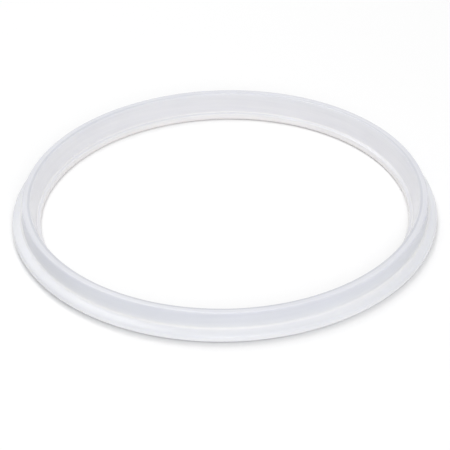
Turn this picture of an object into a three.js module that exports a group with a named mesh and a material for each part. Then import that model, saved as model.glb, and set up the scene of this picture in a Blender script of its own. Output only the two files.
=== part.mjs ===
// The sealing ring of a stovetop pressure cooker: one soft ring, moulded in milky silicone.
// Millimetres. The ring stands on its base plane, z = 0, its axis is +Z and its rim is uppermost.
//
// Seen in section and going outwards, it has a lip around the bore, an inner wall that leans
// outwards as it rises, a rim that is bevelled on its inner side, an outer wall that stands nearly
// upright, and a skirt that slopes down and out to a round nose. The nose and the lip's edge hang
// clear of the base plane. A narrow relief groove runs up the underside between the two walls, so
// that the lip and the skirt can flex.

import * as THREE from "three";

// Overall sizes
const OUTER_DIAMETER = 250; // across the nose of the skirt
const HEIGHT = 16.4; // base plane to rim

// Rim and walls
const RIM_SET_IN = 6.2; // rim's outer edge, in from the nose
const RIM_WIDTH = 4.5; // across the top, over both rounded edges and the bevel
const RIM_OUTER_ROUNDING = 0.9;
const RIM_BEVEL_WIDTH = 1.8; // the inner part of the rim, which falls towards the bore
const RIM_BEVEL_FALL = 0.35;
const RIM_CREST_ROUNDING = 1.5; // where the flat meets the bevel
const RIM_INNER_ROUNDING = 0.5;
const OUTER_WALL_DRAFT = 0.7; // how far the outer wall's foot stands out past the rim
const INNER_WALL_LEAN = 3.65; // how far the inner wall's foot stands in from the rim

// Lip around the bore
const LIP_REACH = 1.9; // in from the inner wall's foot to the bore
const LIP_CLEARANCE = 0.3; // between the lip's edge and the base plane
const LIP_THICKNESS = 4.1; // at the wall's foot
const LIP_FALL = 0.5; // how much lower the lip's top is at the bore
const LIP_TOP_ROUNDING = 0.8;
const LIP_BOTTOM_ROUNDING = 0.5;
const LIP_ROOT_FILLET = 1.2;

// Skirt around the outside
const SKIRT_ROOT_HEIGHT = 6.8; // where the skirt's slope meets the outer wall
const SKIRT_ROOT_FILLET = 1.4;
const NOSE_TOP = 5.0; // where the skirt's slope meets the nose
const NOSE_BOTTOM = 2.0; // clearance between the nose and the base plane
const NOSE_TOP_ROUNDING = 1.5;
const NOSE_BOTTOM_ROUNDING = 0.7;

// Underside
const OUTER_FOOT_SET_IN = 4.0; // flat base's outer edge, in from the nose
const INNER_FOOT_SET_OUT = 2.6; // flat base's inner edge, out from the bore
const FOOT_ROUNDING = 0.6;

// Relief groove in the underside
const GROOVE_MOUTH_WIDTH = 3.4;
const GROOVE_TIP_WIDTH = 1.8;
const GROOVE_ROOF = 3.8; // material left between the groove's tip and the rim
const GROOVE_EDGE_ROUNDING = 0.4;

// Smoothness of the solid
const SEGMENTS = 72; // around the ring
const ARC_STEPS = 2; // along each rounded corner of the section

const NOSE_RADIUS = OUTER_DIAMETER / 2;
const RIM_OUTER_RADIUS = NOSE_RADIUS - RIM_SET_IN;
const RIM_INNER_RADIUS = RIM_OUTER_RADIUS - RIM_WIDTH;
const OUTER_WALL_FOOT_RADIUS = RIM_OUTER_RADIUS + OUTER_WALL_DRAFT;
const INNER_WALL_FOOT_RADIUS = RIM_INNER_RADIUS - INNER_WALL_LEAN;
const BORE_RADIUS = INNER_WALL_FOOT_RADIUS - LIP_REACH;
const OUTER_FOOT_RADIUS = NOSE_RADIUS - OUTER_FOOT_SET_IN;
const INNER_FOOT_RADIUS = BORE_RADIUS + INNER_FOOT_SET_OUT;
const LIP_ROOT_HEIGHT = LIP_CLEARANCE + LIP_THICKNESS;

// A corner of the section, at a distance r from the axis and a height z.
function corner(r, z, rounding) {
  return { at: new THREE.Vector2(r, z), rounding };
}

// Distance from the axis of a straight wall at height z, given its two ends.
function wallRadius(foot, top, z) {
  return THREE.MathUtils.mapLinear(z, foot.at.y, top.at.y, foot.at.x, top.at.x);
}

// The corners of the groove, from its mouth at the inner foot, up round its tip and back down to
// the outer foot. The mouth is midway across the base, and the tip midway between the walls.
function grooveCorners(innerWall, outerWall) {
  const tipHeight = HEIGHT - GROOVE_ROOF;
  const tipRadius = (wallRadius(...innerWall, tipHeight) + wallRadius(...outerWall, tipHeight)) / 2;
  const mouthRadius = (INNER_FOOT_RADIUS + OUTER_FOOT_RADIUS) / 2;
  const tip = GROOVE_TIP_WIDTH / 2;
  const mouth = GROOVE_MOUTH_WIDTH / 2;
  return [
    corner(mouthRadius - mouth, 0, GROOVE_EDGE_ROUNDING),
    corner(tipRadius - tip, tipHeight, tip),
    corner(tipRadius + tip, tipHeight, tip),
    corner(mouthRadius + mouth, 0, GROOVE_EDGE_ROUNDING),
  ];
}

// The corners of the whole section, anticlockwise with r to the right and z upwards.
function sectionCorners() {
  const outerWall = [
    corner(OUTER_WALL_FOOT_RADIUS, SKIRT_ROOT_HEIGHT, SKIRT_ROOT_FILLET),
    corner(RIM_OUTER_RADIUS, HEIGHT, RIM_OUTER_ROUNDING),
  ];
  const innerWall = [
    corner(INNER_WALL_FOOT_RADIUS, LIP_ROOT_HEIGHT, LIP_ROOT_FILLET),
    corner(RIM_INNER_RADIUS, HEIGHT - RIM_BEVEL_FALL, RIM_INNER_ROUNDING),
  ];
  return [
    corner(OUTER_FOOT_RADIUS, 0, FOOT_ROUNDING),
    corner(NOSE_RADIUS, NOSE_BOTTOM, NOSE_BOTTOM_ROUNDING),
    corner(NOSE_RADIUS, NOSE_TOP, NOSE_TOP_ROUNDING),
    ...outerWall,
    corner(RIM_INNER_RADIUS + RIM_BEVEL_WIDTH, HEIGHT, RIM_CREST_ROUNDING),
    ...innerWall.toReversed(),
    corner(BORE_RADIUS, LIP_ROOT_HEIGHT - LIP_FALL, LIP_TOP_ROUNDING),
    corner(BORE_RADIUS, LIP_CLEARANCE, LIP_BOTTOM_ROUNDING),
    corner(INNER_FOOT_RADIUS, 0, FOOT_ROUNDING),
    ...grooveCorners(innerWall, outerWall),
  ];
}

// The arc that replaces one corner, tangent to both of its edges. It takes less than half of
// either edge, so neighbouring arcs never meet.
function roundCorner(before, here, after) {
  const back = before.at.clone().sub(here.at);
  const ahead = after.at.clone().sub(here.at);
  const room = 0.48 * Math.min(back.length(), ahead.length());
  back.normalize();
  ahead.normalize();
  const halfAngle = Math.acos(back.dot(ahead)) / 2;
  const setback = Math.min(here.rounding / Math.tan(halfAngle), room);
  const bisector = back.clone().add(ahead).normalize();
  const centre = here.at.clone().addScaledVector(bisector, setback / Math.cos(halfAngle));
  const start = here.at.clone().addScaledVector(back, setback);
  const turn = Math.sign(ahead.cross(back)) * (Math.PI - 2 * halfAngle);
  return Array.from({ length: ARC_STEPS + 1 }, (_, step) =>
    start.clone().rotateAround(centre, (turn * step) / ARC_STEPS),
  );
}

function sealingRing() {
  const corners = sectionCorners();
  const outline = corners.flatMap((here, i) =>
    roundCorner(corners.at(i - 1), here, corners[(i + 1) % corners.length]),
  );
  const geometry = new THREE.LatheGeometry([...outline, outline[0].clone()], SEGMENTS);
  geometry.rotateX(Math.PI / 2); // the lathe turns about Y, and the ring's axis is Z
  const silicone = new THREE.MeshStandardMaterial({ color: 0xe6e7eb, roughness: 0.4, metalness: 0 });
  const ring = new THREE.Mesh(geometry, silicone);
  ring.name = "sealing_ring";
  return ring;
}

const part = new THREE.Group();
part.add(sealingRing());

export default part;
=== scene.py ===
"""The looks of a pressure cooker's sealing ring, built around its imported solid.

The ring is one moulded piece of milky silicone. It lies on a white ground under soft studio light.
Lengths are in metres, +Z is up, and the ring's axis is +Z with its base plane at z = 0.
"""

import logging
import math
from dataclasses import dataclass, field
from enum import IntEnum

import bpy
from mathutils import Matrix, Vector

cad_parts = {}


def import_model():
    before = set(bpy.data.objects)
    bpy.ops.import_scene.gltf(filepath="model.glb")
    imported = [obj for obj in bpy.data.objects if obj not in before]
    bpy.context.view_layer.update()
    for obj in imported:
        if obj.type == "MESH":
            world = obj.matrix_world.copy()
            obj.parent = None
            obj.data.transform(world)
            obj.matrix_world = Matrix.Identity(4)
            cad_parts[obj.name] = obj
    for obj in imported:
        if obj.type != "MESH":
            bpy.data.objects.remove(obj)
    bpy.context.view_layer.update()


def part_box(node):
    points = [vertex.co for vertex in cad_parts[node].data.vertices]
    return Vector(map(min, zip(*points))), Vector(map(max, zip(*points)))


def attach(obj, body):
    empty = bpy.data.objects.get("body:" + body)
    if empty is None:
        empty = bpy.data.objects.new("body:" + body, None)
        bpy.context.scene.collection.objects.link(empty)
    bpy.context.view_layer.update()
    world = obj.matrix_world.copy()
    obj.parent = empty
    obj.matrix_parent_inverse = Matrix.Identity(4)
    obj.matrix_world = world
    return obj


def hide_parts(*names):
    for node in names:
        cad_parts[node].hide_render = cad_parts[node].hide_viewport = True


MM = 0.001
ROUNDING_REACH = 0.15  # how many places a rounding takes up on either side of its corner
EDGE_SHARE = 0.48  # the most of a straight edge that one rounding may take up

log = logging.getLogger("sealing_ring")


class Place(IntEnum):
    """The corners of the ring's section, in order, starting under the outer wall."""

    OUTER_FOOT = 0
    NOSE_BOTTOM = 1
    NOSE_TOP = 2
    SKIRT_ROOT = 3
    RIM_OUTER = 4
    CREST = 5
    RIM_INNER = 6
    LIP_ROOT = 7
    LIP_TOP = 8
    LIP_BOTTOM = 9
    INNER_FOOT = 10
    GROOVE_INNER = 11
    GROOVE_TIP_INNER = 12
    GROOVE_TIP_OUTER = 13
    GROOVE_OUTER = 14


class NodeKit:
    """Short ways to add the nodes of one material."""

    def __init__(self, material: bpy.types.Material) -> None:
        """Empties the material's tree and keeps it."""
        material.use_nodes = True
        self.tree = material.node_tree
        self.tree.nodes.clear()

    def add(self, kind: str, **settings: object) -> bpy.types.Node:
        """Adds a node.

        Args:
            kind: the node's type, without its leading ShaderNode.
            settings: properties to set on it.

        Returns:
            The new node.
        """
        node = self.tree.nodes.new("ShaderNode" + kind)
        for name, value in settings.items():
            setattr(node, name, value)
        return node

    def link(self, source: bpy.types.NodeSocket, target: bpy.types.NodeSocket) -> None:
        """Feeds one socket from another."""
        self.tree.links.new(source, target)

    def feed(self, socket: bpy.types.NodeSocket, value: object) -> None:
        """Sets a socket to a number, or links it to another socket."""
        if isinstance(value, bpy.types.NodeSocket):
            self.link(value, socket)
        else:
            socket.default_value = value

    def math(self, operation: str, *values: object) -> bpy.types.NodeSocket:
        """A number worked out from one, two or three others."""
        node = self.add("Math", operation=operation)
        for socket, value in zip(node.inputs, values):
            self.feed(socket, value)
        return node.outputs[0]

    def vector(self, x: object, y: object, z: object) -> bpy.types.NodeSocket:
        """A vector from its three parts."""
        node = self.add("CombineXYZ")
        for socket, value in zip(node.inputs, (x, y, z)):
            self.feed(socket, value)
        return node.outputs[0]

    def position(self) -> bpy.types.NodeSocket:
        """The place on the object that a pattern follows."""
        return self.add("TexCoord").outputs["Object"]

    def span(self, value: object, low: float, high: float) -> bpy.types.NodeSocket:
        """A share from 0 to 1, mapped to the range from low to high."""
        node = self.add("MapRange")
        self.feed(node.inputs["Value"], value)
        node.inputs["To Min"].default_value = low
        node.inputs["To Max"].default_value = high
        return node.outputs["Result"]


@dataclass(frozen=True)
class Band:
    """How the rubber's colour is multiplied at one place around the section.

    Thick rubber looks a little darker and bluer, which is partly its own tint and partly painted
    shade. The bright lines along the tight fillets at the skirt's root and the lip's root, and
    along the thin edges of the nose and the lip, are painted highlights. The lighter skirt root is
    painted light that lifts the shade of its concave fillet. The dark bands on the rim's inner
    bevel and just below the lip's root are painted shade.
    """

    place: float
    # the colour factor, holding the rubber's tint together with painted light and shade
    tint: tuple[float, float, float]


# Colour factors around the section: the rubber's own tint mixed with painted highlights (the bright
# lines) and painted shade (the dark bands).
SECTION_TINT_AND_LIGHT_BANDS = (
    Band(Place.OUTER_FOOT, (0.95, 0.95, 0.95)),
    Band(Place.NOSE_BOTTOM, (1.02, 1.02, 1.00)),
    Band(Place.NOSE_BOTTOM + 0.3, (1.04, 1.04, 1.00)),
    Band(Place.NOSE_TOP - 0.16, (1.00, 1.00, 0.98)),
    Band(Place.NOSE_TOP, (0.96, 0.96, 0.95)),
    Band(Place.NOSE_TOP + 0.3, (1.02, 1.025, 1.00)),
    Band(Place.SKIRT_ROOT - 0.20, (1.11, 1.11, 1.09)),
    Band(Place.SKIRT_ROOT - 0.06, (1.24, 1.23, 1.20)),
    Band(Place.SKIRT_ROOT + 0.06, (1.14, 1.135, 1.11)),
    Band(Place.SKIRT_ROOT + 0.18, (0.98, 0.985, 0.98)),
    Band(Place.SKIRT_ROOT + 0.4, (0.90, 0.91, 0.92)),
    Band(Place.RIM_OUTER - 0.16, (0.86, 0.868, 0.88)),
    Band(Place.RIM_OUTER - 0.04, (0.87, 0.87, 0.88)),
    Band(Place.RIM_OUTER + 0.1, (0.91, 0.91, 0.91)),
    Band(Place.CREST - 0.16, (0.93, 0.93, 0.92)),
    Band(Place.CREST, (0.96, 0.96, 0.95)),
    Band(Place.CREST + 0.25, (0.81, 0.815, 0.82)),
    Band(Place.RIM_INNER - 0.2, (0.79, 0.795, 0.80)),
    Band(Place.RIM_INNER + 0.2, (0.975, 0.97, 0.955)),
    Band(Place.RIM_INNER + 0.6, (0.995, 0.985, 0.97)),
    Band(Place.LIP_ROOT - 0.20, (0.99, 0.98, 0.965)),
    Band(Place.LIP_ROOT - 0.06, (1.15, 1.13, 1.08)),
    Band(Place.LIP_ROOT + 0.06, (1.06, 1.05, 1.02)),
    Band(Place.LIP_ROOT + 0.22, (0.89, 0.895, 0.90)),
    Band(Place.LIP_ROOT + 0.5, (0.94, 0.94, 0.93)),
    Band(Place.LIP_TOP - 0.16, (0.96, 0.955, 0.94)),
    Band(Place.LIP_TOP, (0.98, 0.97, 0.93)),
    Band(Place.LIP_TOP + 0.5, (1.07, 1.04, 0.99)),
    Band(Place.LIP_BOTTOM, (1.02, 0.98, 0.93)),
    Band(Place.GROOVE_INNER, (1.00, 1.00, 1.00)),
    Band(Place.GROOVE_OUTER, (1.00, 1.00, 1.00)),
)


@dataclass(frozen=True)
class MilkySilicone:
    """Soft translucent rubber, moulded, with faint flow streaks that run around the ring.

    Its tint runs from clear to milky with the streaks, and is multiplied by the section's bands,
    which also carry painted highlights and painted shade.
    """

    clear_tint: tuple[float, float, float] = (0.757, 0.764, 0.812)
    milky_tint: tuple[float, float, float] = (0.811, 0.818, 0.860)
    scatter_weight: float = 0.5
    scatter_radius: tuple[float, float, float] = (1.0, 1.0, 1.1)
    scatter_depth: float = 3.0 * MM
    ior: float = 1.41
    roughness: tuple[float, float] = (0.18, 0.26)
    streak_pitch: float = 1.7 * MM
    streak_turns: float = 2.2
    streak_slope: float = 0.7
    cloud_size: float = 26.0 * MM
    grain_size: float = 0.5 * MM
    grain_height: float = 0.010 * MM
    streak_height: float = 0.030 * MM
    streak_share: float = 0.6
    clear_below: float = 0.30
    milky_above: float = 0.70
    # the colour attribute that carries the section's tint with its painted highlights and painted
    # shade
    band_layer: str = "section_tint_and_painted_light"

    def streaks(self, kit: NodeKit) -> bpy.types.NodeSocket:
        """Long streaks around the axis: fast across the section and slow along the ring."""
        split = kit.add("SeparateXYZ")
        kit.link(kit.position(), split.inputs[0])
        x, y, z = split.outputs
        squares = kit.math("ADD", kit.math("MULTIPLY", x, x), kit.math("MULTIPLY", y, y))
        radius = kit.math("SQRT", squares)
        along_x = kit.math("MULTIPLY", kit.math("DIVIDE", x, radius), self.streak_turns)
        along_y = kit.math("MULTIPLY", kit.math("DIVIDE", y, radius), self.streak_turns)
        depth = kit.math("MULTIPLY_ADD", z, self.streak_slope, radius)
        across = kit.math("DIVIDE", depth, self.streak_pitch)
        noise = kit.add("TexNoise")
        kit.link(kit.vector(along_x, along_y, across), noise.inputs["Vector"])
        noise.inputs["Scale"].default_value = 1.0
        noise.inputs["Detail"].default_value = 3.0
        return noise.outputs["Fac"]

    def noise(self, kit: NodeKit, size: float, detail: float) -> bpy.types.NodeSocket:
        """An even noise whose blobs are about the given size."""
        node = kit.add("TexNoise")
        kit.link(kit.position(), node.inputs["Vector"])
        node.inputs["Scale"].default_value = 1.0 / size
        node.inputs["Detail"].default_value = detail
        return node.outputs["Fac"]

    def build(self) -> bpy.types.Material:
        """Makes the material.

        Returns:
            The finished material.
        """
        material = bpy.data.materials.new("milky_silicone")
        kit = NodeKit(material)
        streaks = self.streaks(kit)
        clouds = self.noise(kit, self.cloud_size, 2.0)
        grain = self.noise(kit, self.grain_size, 2.0)

        cloudiness = kit.math("MULTIPLY", clouds, 1.0 - self.streak_share)
        milkiness = kit.math("MULTIPLY_ADD", streaks, self.streak_share, cloudiness)
        tint = kit.add("ValToRGB")
        kit.link(milkiness, tint.inputs["Fac"])
        clear, milky = tint.color_ramp.elements
        clear.position, clear.color = self.clear_below, (*self.clear_tint, 1.0)
        milky.position, milky.color = self.milky_above, (*self.milky_tint, 1.0)

        bump = kit.add("Bump")
        grain_part = kit.math("MULTIPLY", grain, self.grain_height)
        height = kit.math("MULTIPLY_ADD", streaks, self.streak_height, grain_part)
        kit.link(height, bump.inputs["Height"])
        bump.inputs["Strength"].default_value = 1.0
        bump.inputs["Distance"].default_value = 1.0

        # Multiplies in the section's bands: the rubber's tint together with painted highlights and
        # painted shade.
        banded = kit.add("Mix", data_type="RGBA", blend_type="MULTIPLY")
        factor, _, _, _, _, _, first, second, *_ = banded.inputs
        factor.default_value = 1.0
        kit.link(tint.outputs["Color"], first)
        bands = kit.add("Attribute", attribute_name=self.band_layer)
        kit.link(bands.outputs["Color"], second)

        rubber = kit.add("BsdfPrincipled")
        kit.link(banded.outputs[2], rubber.inputs["Base Color"])
        kit.link(kit.span(clouds, *self.roughness), rubber.inputs["Roughness"])
        kit.link(bump.outputs["Normal"], rubber.inputs["Normal"])
        rubber.inputs["IOR"].default_value = self.ior
        rubber.inputs["Subsurface Weight"].default_value = self.scatter_weight
        rubber.inputs["Subsurface Radius"].default_value = self.scatter_radius
        rubber.inputs["Subsurface Scale"].default_value = self.scatter_depth
        out = kit.add("OutputMaterial")
        kit.link(rubber.outputs["BSDF"], out.inputs["Surface"])
        return material


@dataclass(frozen=True)
class WhiteGround:
    """A plain matt white ground."""

    colour: tuple[float, float, float] = (0.94, 0.94, 0.94)
    roughness: float = 0.9

    def build(self) -> bpy.types.Material:
        """Makes the material."""
        material = bpy.data.materials.new("white_ground")
        kit = NodeKit(material)
        paper = kit.add("BsdfPrincipled")
        paper.inputs["Base Color"].default_value = (*self.colour, 1.0)
        paper.inputs["Roughness"].default_value = self.roughness
        paper.inputs["Specular IOR Level"].default_value = 0.0
        out = kit.add("OutputMaterial")
        kit.link(paper.outputs["BSDF"], out.inputs["Surface"])
        return material


@dataclass(frozen=True)
class Corner:
    """A corner of the section: its distance from the axis, its height and its rounding."""

    r: float
    z: float
    rounding: float

    def at(self) -> Vector:
        """The corner as a point of the section's plane."""
        return Vector((self.r, self.z))


@dataclass
class RingSection:
    """The section of the ring, from its lip around the bore to the nose of its skirt."""

    nose_radius: float
    height: float
    rim_set_in: float = 6.2 * MM
    rim_width: float = 4.5 * MM
    rim_outer_rounding: float = 0.9 * MM
    rim_inner_rounding: float = 0.5 * MM
    rim_bevel_width: float = 1.8 * MM
    rim_bevel_fall: float = 0.35 * MM
    rim_crest_rounding: float = 1.5 * MM
    outer_wall_draft: float = 0.7 * MM
    inner_wall_lean: float = 3.65 * MM
    lip_reach: float = 1.9 * MM
    lip_clearance: float = 0.3 * MM
    lip_thickness: float = 4.1 * MM
    lip_fall: float = 0.5 * MM
    lip_top_rounding: float = 0.8 * MM
    lip_bottom_rounding: float = 0.5 * MM
    lip_root_fillet: float = 1.2 * MM
    skirt_root_height: float = 6.8 * MM
    skirt_root_fillet: float = 1.4 * MM
    nose_top: float = 5.0 * MM
    nose_bottom: float = 2.0 * MM
    nose_top_rounding: float = 1.5 * MM
    nose_bottom_rounding: float = 0.7 * MM
    outer_foot_set_in: float = 4.0 * MM
    inner_foot_set_out: float = 2.6 * MM
    foot_rounding: float = 0.6 * MM
    groove_mouth_width: float = 3.4 * MM
    groove_tip_width: float = 1.8 * MM
    groove_roof: float = 3.8 * MM
    groove_edge_rounding: float = 0.4 * MM
    arc_steps: int = 6
    edge_pitch: float = 0.8 * MM

    def corners(self) -> list[Corner]:
        """The section's corners, anticlockwise with r to the right and z upwards."""
        rim_outer = Corner(self.nose_radius - self.rim_set_in, self.height, self.rim_outer_rounding)
        rim_inner = Corner(
            rim_outer.r - self.rim_width,
            self.height - self.rim_bevel_fall,
            self.rim_inner_rounding,
        )
        crest = Corner(rim_inner.r + self.rim_bevel_width, self.height, self.rim_crest_rounding)
        skirt_root = Corner(
            rim_outer.r + self.outer_wall_draft, self.skirt_root_height, self.skirt_root_fillet
        )
        lip_root = Corner(
            rim_inner.r - self.inner_wall_lean,
            self.lip_clearance + self.lip_thickness,
            self.lip_root_fillet,
        )
        bore = lip_root.r - self.lip_reach
        outer_foot = self.nose_radius - self.outer_foot_set_in
        inner_foot = bore + self.inner_foot_set_out
        tip_height = self.height - self.groove_roof
        tip = (self.wall_at(lip_root, rim_inner, tip_height)
               + self.wall_at(skirt_root, rim_outer, tip_height)) / 2
        mouth = (inner_foot + outer_foot) / 2
        half_tip, half_mouth = self.groove_tip_width / 2, self.groove_mouth_width / 2
        return [
            Corner(outer_foot, 0.0, self.foot_rounding),
            Corner(self.nose_radius, self.nose_bottom, self.nose_bottom_rounding),
            Corner(self.nose_radius, self.nose_top, self.nose_top_rounding),
            skirt_root,
            rim_outer,
            crest,
            rim_inner,
            lip_root,
            Corner(bore, lip_root.z - self.lip_fall, self.lip_top_rounding),
            Corner(bore, self.lip_clearance, self.lip_bottom_rounding),
            Corner(inner_foot, 0.0, self.foot_rounding),
            Corner(mouth - half_mouth, 0.0, self.groove_edge_rounding),
            Corner(tip - half_tip, tip_height, half_tip),
            Corner(tip + half_tip, tip_height, half_tip),
            Corner(mouth + half_mouth, 0.0, self.groove_edge_rounding),
        ]

    @staticmethod
    def wall_at(foot: Corner, top: Corner, z: float) -> float:
        """Distance from the axis of a straight wall at height z."""
        share = (z - foot.z) / (top.z - foot.z)
        return foot.r + share * (top.r - foot.r)

    def rounded(self, before: Corner, here: Corner, after: Corner) -> list[Vector]:
        """The arc that replaces a corner, tangent to both of its edges.

        Args:
            before: the corner that comes before it.
            here: the corner to round.
            after: the corner that comes after it.

        Returns:
            The arc's points, in order.
        """
        back = before.at() - here.at()
        ahead = after.at() - here.at()
        room = EDGE_SHARE * min(back.length, ahead.length)
        back.normalize()
        ahead.normalize()
        half_angle = math.acos(max(-1.0, min(1.0, back.dot(ahead)))) / 2
        setback = min(here.rounding / math.tan(half_angle), room)
        centre = here.at() + (back + ahead).normalized() * (setback / math.cos(half_angle))
        spoke = here.at() + back * setback - centre
        side = math.copysign(1.0, ahead.x * back.y - ahead.y * back.x)
        turn = side * (math.pi - 2 * half_angle)
        points = []
        for step in range(self.arc_steps + 1):
            angle = turn * step / self.arc_steps
            cos, sin = math.cos(angle), math.sin(angle)
            points.append(
                centre + Vector((spoke.x * cos - spoke.y * sin, spoke.x * sin + spoke.y * cos))
            )
        return points

    def outline(self) -> list[tuple[Vector, float]]:
        """The closed outline, with its straight edges cut into short even steps.

        Returns:
            Each point with its place: its corner's number, and for a point between two corners
            the share of the way to the next. A rounding takes up ROUNDING_REACH on either side.
        """
        corners = self.corners()
        arcs = [
            self.rounded(corners[i - 1], here, corners[(i + 1) % len(corners)])
            for i, here in enumerate(corners)
        ]
        points = []
        for i, arc in enumerate(arcs):
            points += [
                (p, i + ROUNDING_REACH * (2 * k / self.arc_steps - 1)) for k, p in enumerate(arc)
            ]
            start, end = arc[-1], arcs[(i + 1) % len(arcs)][0]
            cuts = int((end - start).length / self.edge_pitch)
            for k in range(cuts):
                share = (k + 1) / (cuts + 1)
                place = i + ROUNDING_REACH + (1 - 2 * ROUNDING_REACH) * share
                points.append((start.lerp(end, share), place))
        return points


@dataclass
class SealingRing:
    """The ring itself: one moulded piece, a little out of round, as soft rubber lies."""

    section: RingSection
    finish: MilkySilicone = field(default_factory=MilkySilicone)
    segments: int = 480
    oval: float = 2.1 * MM
    oval_heading: float = math.radians(52.2)
    lift: float = 0.16 * MM
    lift_heading: float = math.radians(31.4)

    def out_of_round(self, heading: float) -> tuple[float, float]:
        """How far the ring stands out and up at a heading, from its true round shape.

        Args:
            heading: angle around the axis from +X, in radians.

        Returns:
            The shift outwards and the shift upwards, in metres.
        """
        outwards = self.oval * math.cos(2 * (heading - self.oval_heading))
        upwards = self.lift * (1 + math.cos(2 * (heading - self.lift_heading)))
        return outwards, upwards

    @staticmethod
    def band_tint_and_light(place: float) -> tuple[float, float, float, float]:
        """The colour factor at a place around the section, the tint together with painted
        highlights and shade, blended between the nearest two bands.
        """
        for before, after in zip(SECTION_TINT_AND_LIGHT_BANDS, SECTION_TINT_AND_LIGHT_BANDS[1:]):
            if place <= after.place:
                share = max(0.0, (place - before.place) / (after.place - before.place))
                mixed = (a + share * (b - a) for a, b in zip(before.tint, after.tint))
                return (*mixed, 1.0)
        return (*SECTION_TINT_AND_LIGHT_BANDS[-1].tint, 1.0)

    def build_mesh(self) -> bpy.types.Mesh:
        """Sweeps the section around the axis.

        Returns:
            The ring's closed mesh.
        """
        outline, places = zip(*self.section.outline())
        count = len(outline)
        points, faces = [], []
        for i in range(self.segments):
            heading = math.tau * i / self.segments
            outwards, upwards = self.out_of_round(heading)
            cos, sin = math.cos(heading), math.sin(heading)
            for point in outline:
                r = point.x + outwards
                points.append((r * cos, r * sin, point.y + upwards))
            here, following = i * count, ((i + 1) % self.segments) * count
            for k in range(count):
                after = (k + 1) % count
                faces.append((here + k, following + k, following + after, here + after))
        mesh = bpy.data.meshes.new("sealing_ring_silicone")
        mesh.from_pydata(points, [], faces)
        mesh.polygons.foreach_set("use_smooth", [True] * len(faces))
        mesh.validate()
        mesh.update()
        # Stores the section's tint, with its painted highlights and painted shade, on every point
        # of the ring.
        layer = mesh.color_attributes.new(self.finish.band_layer, "FLOAT_COLOR", "POINT")
        tints = [channel for place in places for channel in self.band_tint_and_light(place)]
        layer.data.foreach_set("color", tints * self.segments)
        return mesh

    def build(self) -> bpy.types.Object:
        """Builds and dresses the ring, and puts it on its body.

        Returns:
            The ring's object.
        """
        ring = bpy.data.objects.new("silicone_ring", self.build_mesh())
        bpy.context.scene.collection.objects.link(ring)
        ring.data.materials.append(self.finish.build())
        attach(ring, "root")
        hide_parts("sealing_ring")
        log.info("%s: %d faces", ring.name, len(ring.data.polygons))
        return ring


@dataclass(frozen=True)
class Softbox:
    """A square area light that shines at the ring's middle."""

    name: str
    heading: float
    elevation: float
    distance: float
    size: float
    power: float

    def build(self) -> bpy.types.Object:
        """Adds the light, facing the origin."""
        lamp = bpy.data.lights.new(self.name, "AREA")
        lamp.shape = "SQUARE"
        lamp.size = self.size
        lamp.energy = self.power
        light = bpy.data.objects.new(self.name, lamp)
        heading, elevation = math.radians(self.heading), math.radians(self.elevation)
        towards = Vector((
            math.cos(elevation) * math.cos(heading),
            math.cos(elevation) * math.sin(heading),
            math.sin(elevation),
        ))
        light.location = towards * self.distance
        light.rotation_euler = towards.to_track_quat("Z", "Y").to_euler()
        bpy.context.scene.collection.objects.link(light)
        return light


@dataclass
class Studio:
    """The white ground, the soft light and the camera."""

    ring_radius: float
    ground: WhiteGround = field(default_factory=WhiteGround)
    ground_size: float = 8.0
    sky_strength: float = 0.51
    softboxes: tuple[Softbox, ...] = (
        Softbox("softbox_overhead", 90.0, 86.0, 1.6, 1.2, 2.6),
        Softbox("softbox_back", 112.0, 60.0, 1.6, 0.8, 7.8),
        Softbox("softbox_front", 279.0, 38.0, 1.8, 1.2, 13.7),
    )
    camera_elevation: float = math.radians(33.68)
    camera_roll: float = math.radians(0.43)
    camera_reach: float = 8.0
    camera_dip: float = math.radians(0.384)
    camera_turn: float = math.radians(0.02)
    camera_range: float = 50.0
    lens: float = 135.3

    def add_ground(self) -> bpy.types.Object:
        """Adds the ground plane, which isn't part of the object."""
        half = self.ground_size / 2
        mesh = bpy.data.meshes.new("ground")
        mesh.from_pydata(
            [(-half, -half, 0), (half, -half, 0), (half, half, 0), (-half, half, 0)],
            [],
            [(0, 1, 2, 3)],
        )
        ground = bpy.data.objects.new("ground", mesh)
        ground.data.materials.append(self.ground.build())
        bpy.context.scene.collection.objects.link(ground)
        return ground

    def add_sky(self) -> None:
        """Surrounds the scene with even white light."""
        world = bpy.data.worlds.new("white_tent")
        world.use_nodes = True
        background = world.node_tree.nodes["Background"]
        background.inputs["Color"].default_value = (1.0, 1.0, 1.0, 1.0)
        background.inputs["Strength"].default_value = self.sky_strength
        bpy.context.scene.world = world

    def add_camera(self) -> bpy.types.Object:
        """Adds the camera, which looks along +Y and down at the ring."""
        data = bpy.data.cameras.new("camera")
        data.lens = self.lens
        data.clip_end = self.camera_range
        camera = bpy.data.objects.new("camera", data)
        distance = self.camera_reach * self.ring_radius
        place = Vector((
            0.0,
            -distance * math.cos(self.camera_elevation),
            distance * math.sin(self.camera_elevation),
        ))
        pitch = math.pi / 2 - self.camera_elevation - self.camera_dip
        aim = (
            Matrix.Rotation(self.camera_turn, 4, "Z")
            @ Matrix.Rotation(pitch, 4, "X")
            @ Matrix.Rotation(self.camera_roll, 4, "Z")
        )
        camera.matrix_world = Matrix.Translation(place) @ aim
        bpy.context.scene.collection.objects.link(camera)
        bpy.context.scene.camera = camera
        return camera

    def build(self) -> None:
        """Sets the whole studio up."""
        self.add_ground()
        self.add_sky()
        for softbox in self.softboxes:
            softbox.build()
        self.add_camera()
        bpy.context.scene.view_settings.view_transform = "Standard"
        log.info("studio: %d softboxes", len(self.softboxes))


def main() -> None:
    """Builds the ring and its studio."""
    logging.basicConfig(level=logging.INFO, format="%(name)s: %(message)s")
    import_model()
    _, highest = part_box("sealing_ring")
    section = RingSection(nose_radius=highest.x, height=highest.z)
    Studio(ring_radius=highest.x).build()
    SealingRing(section).build()


if __name__ == "__main__":
    main()
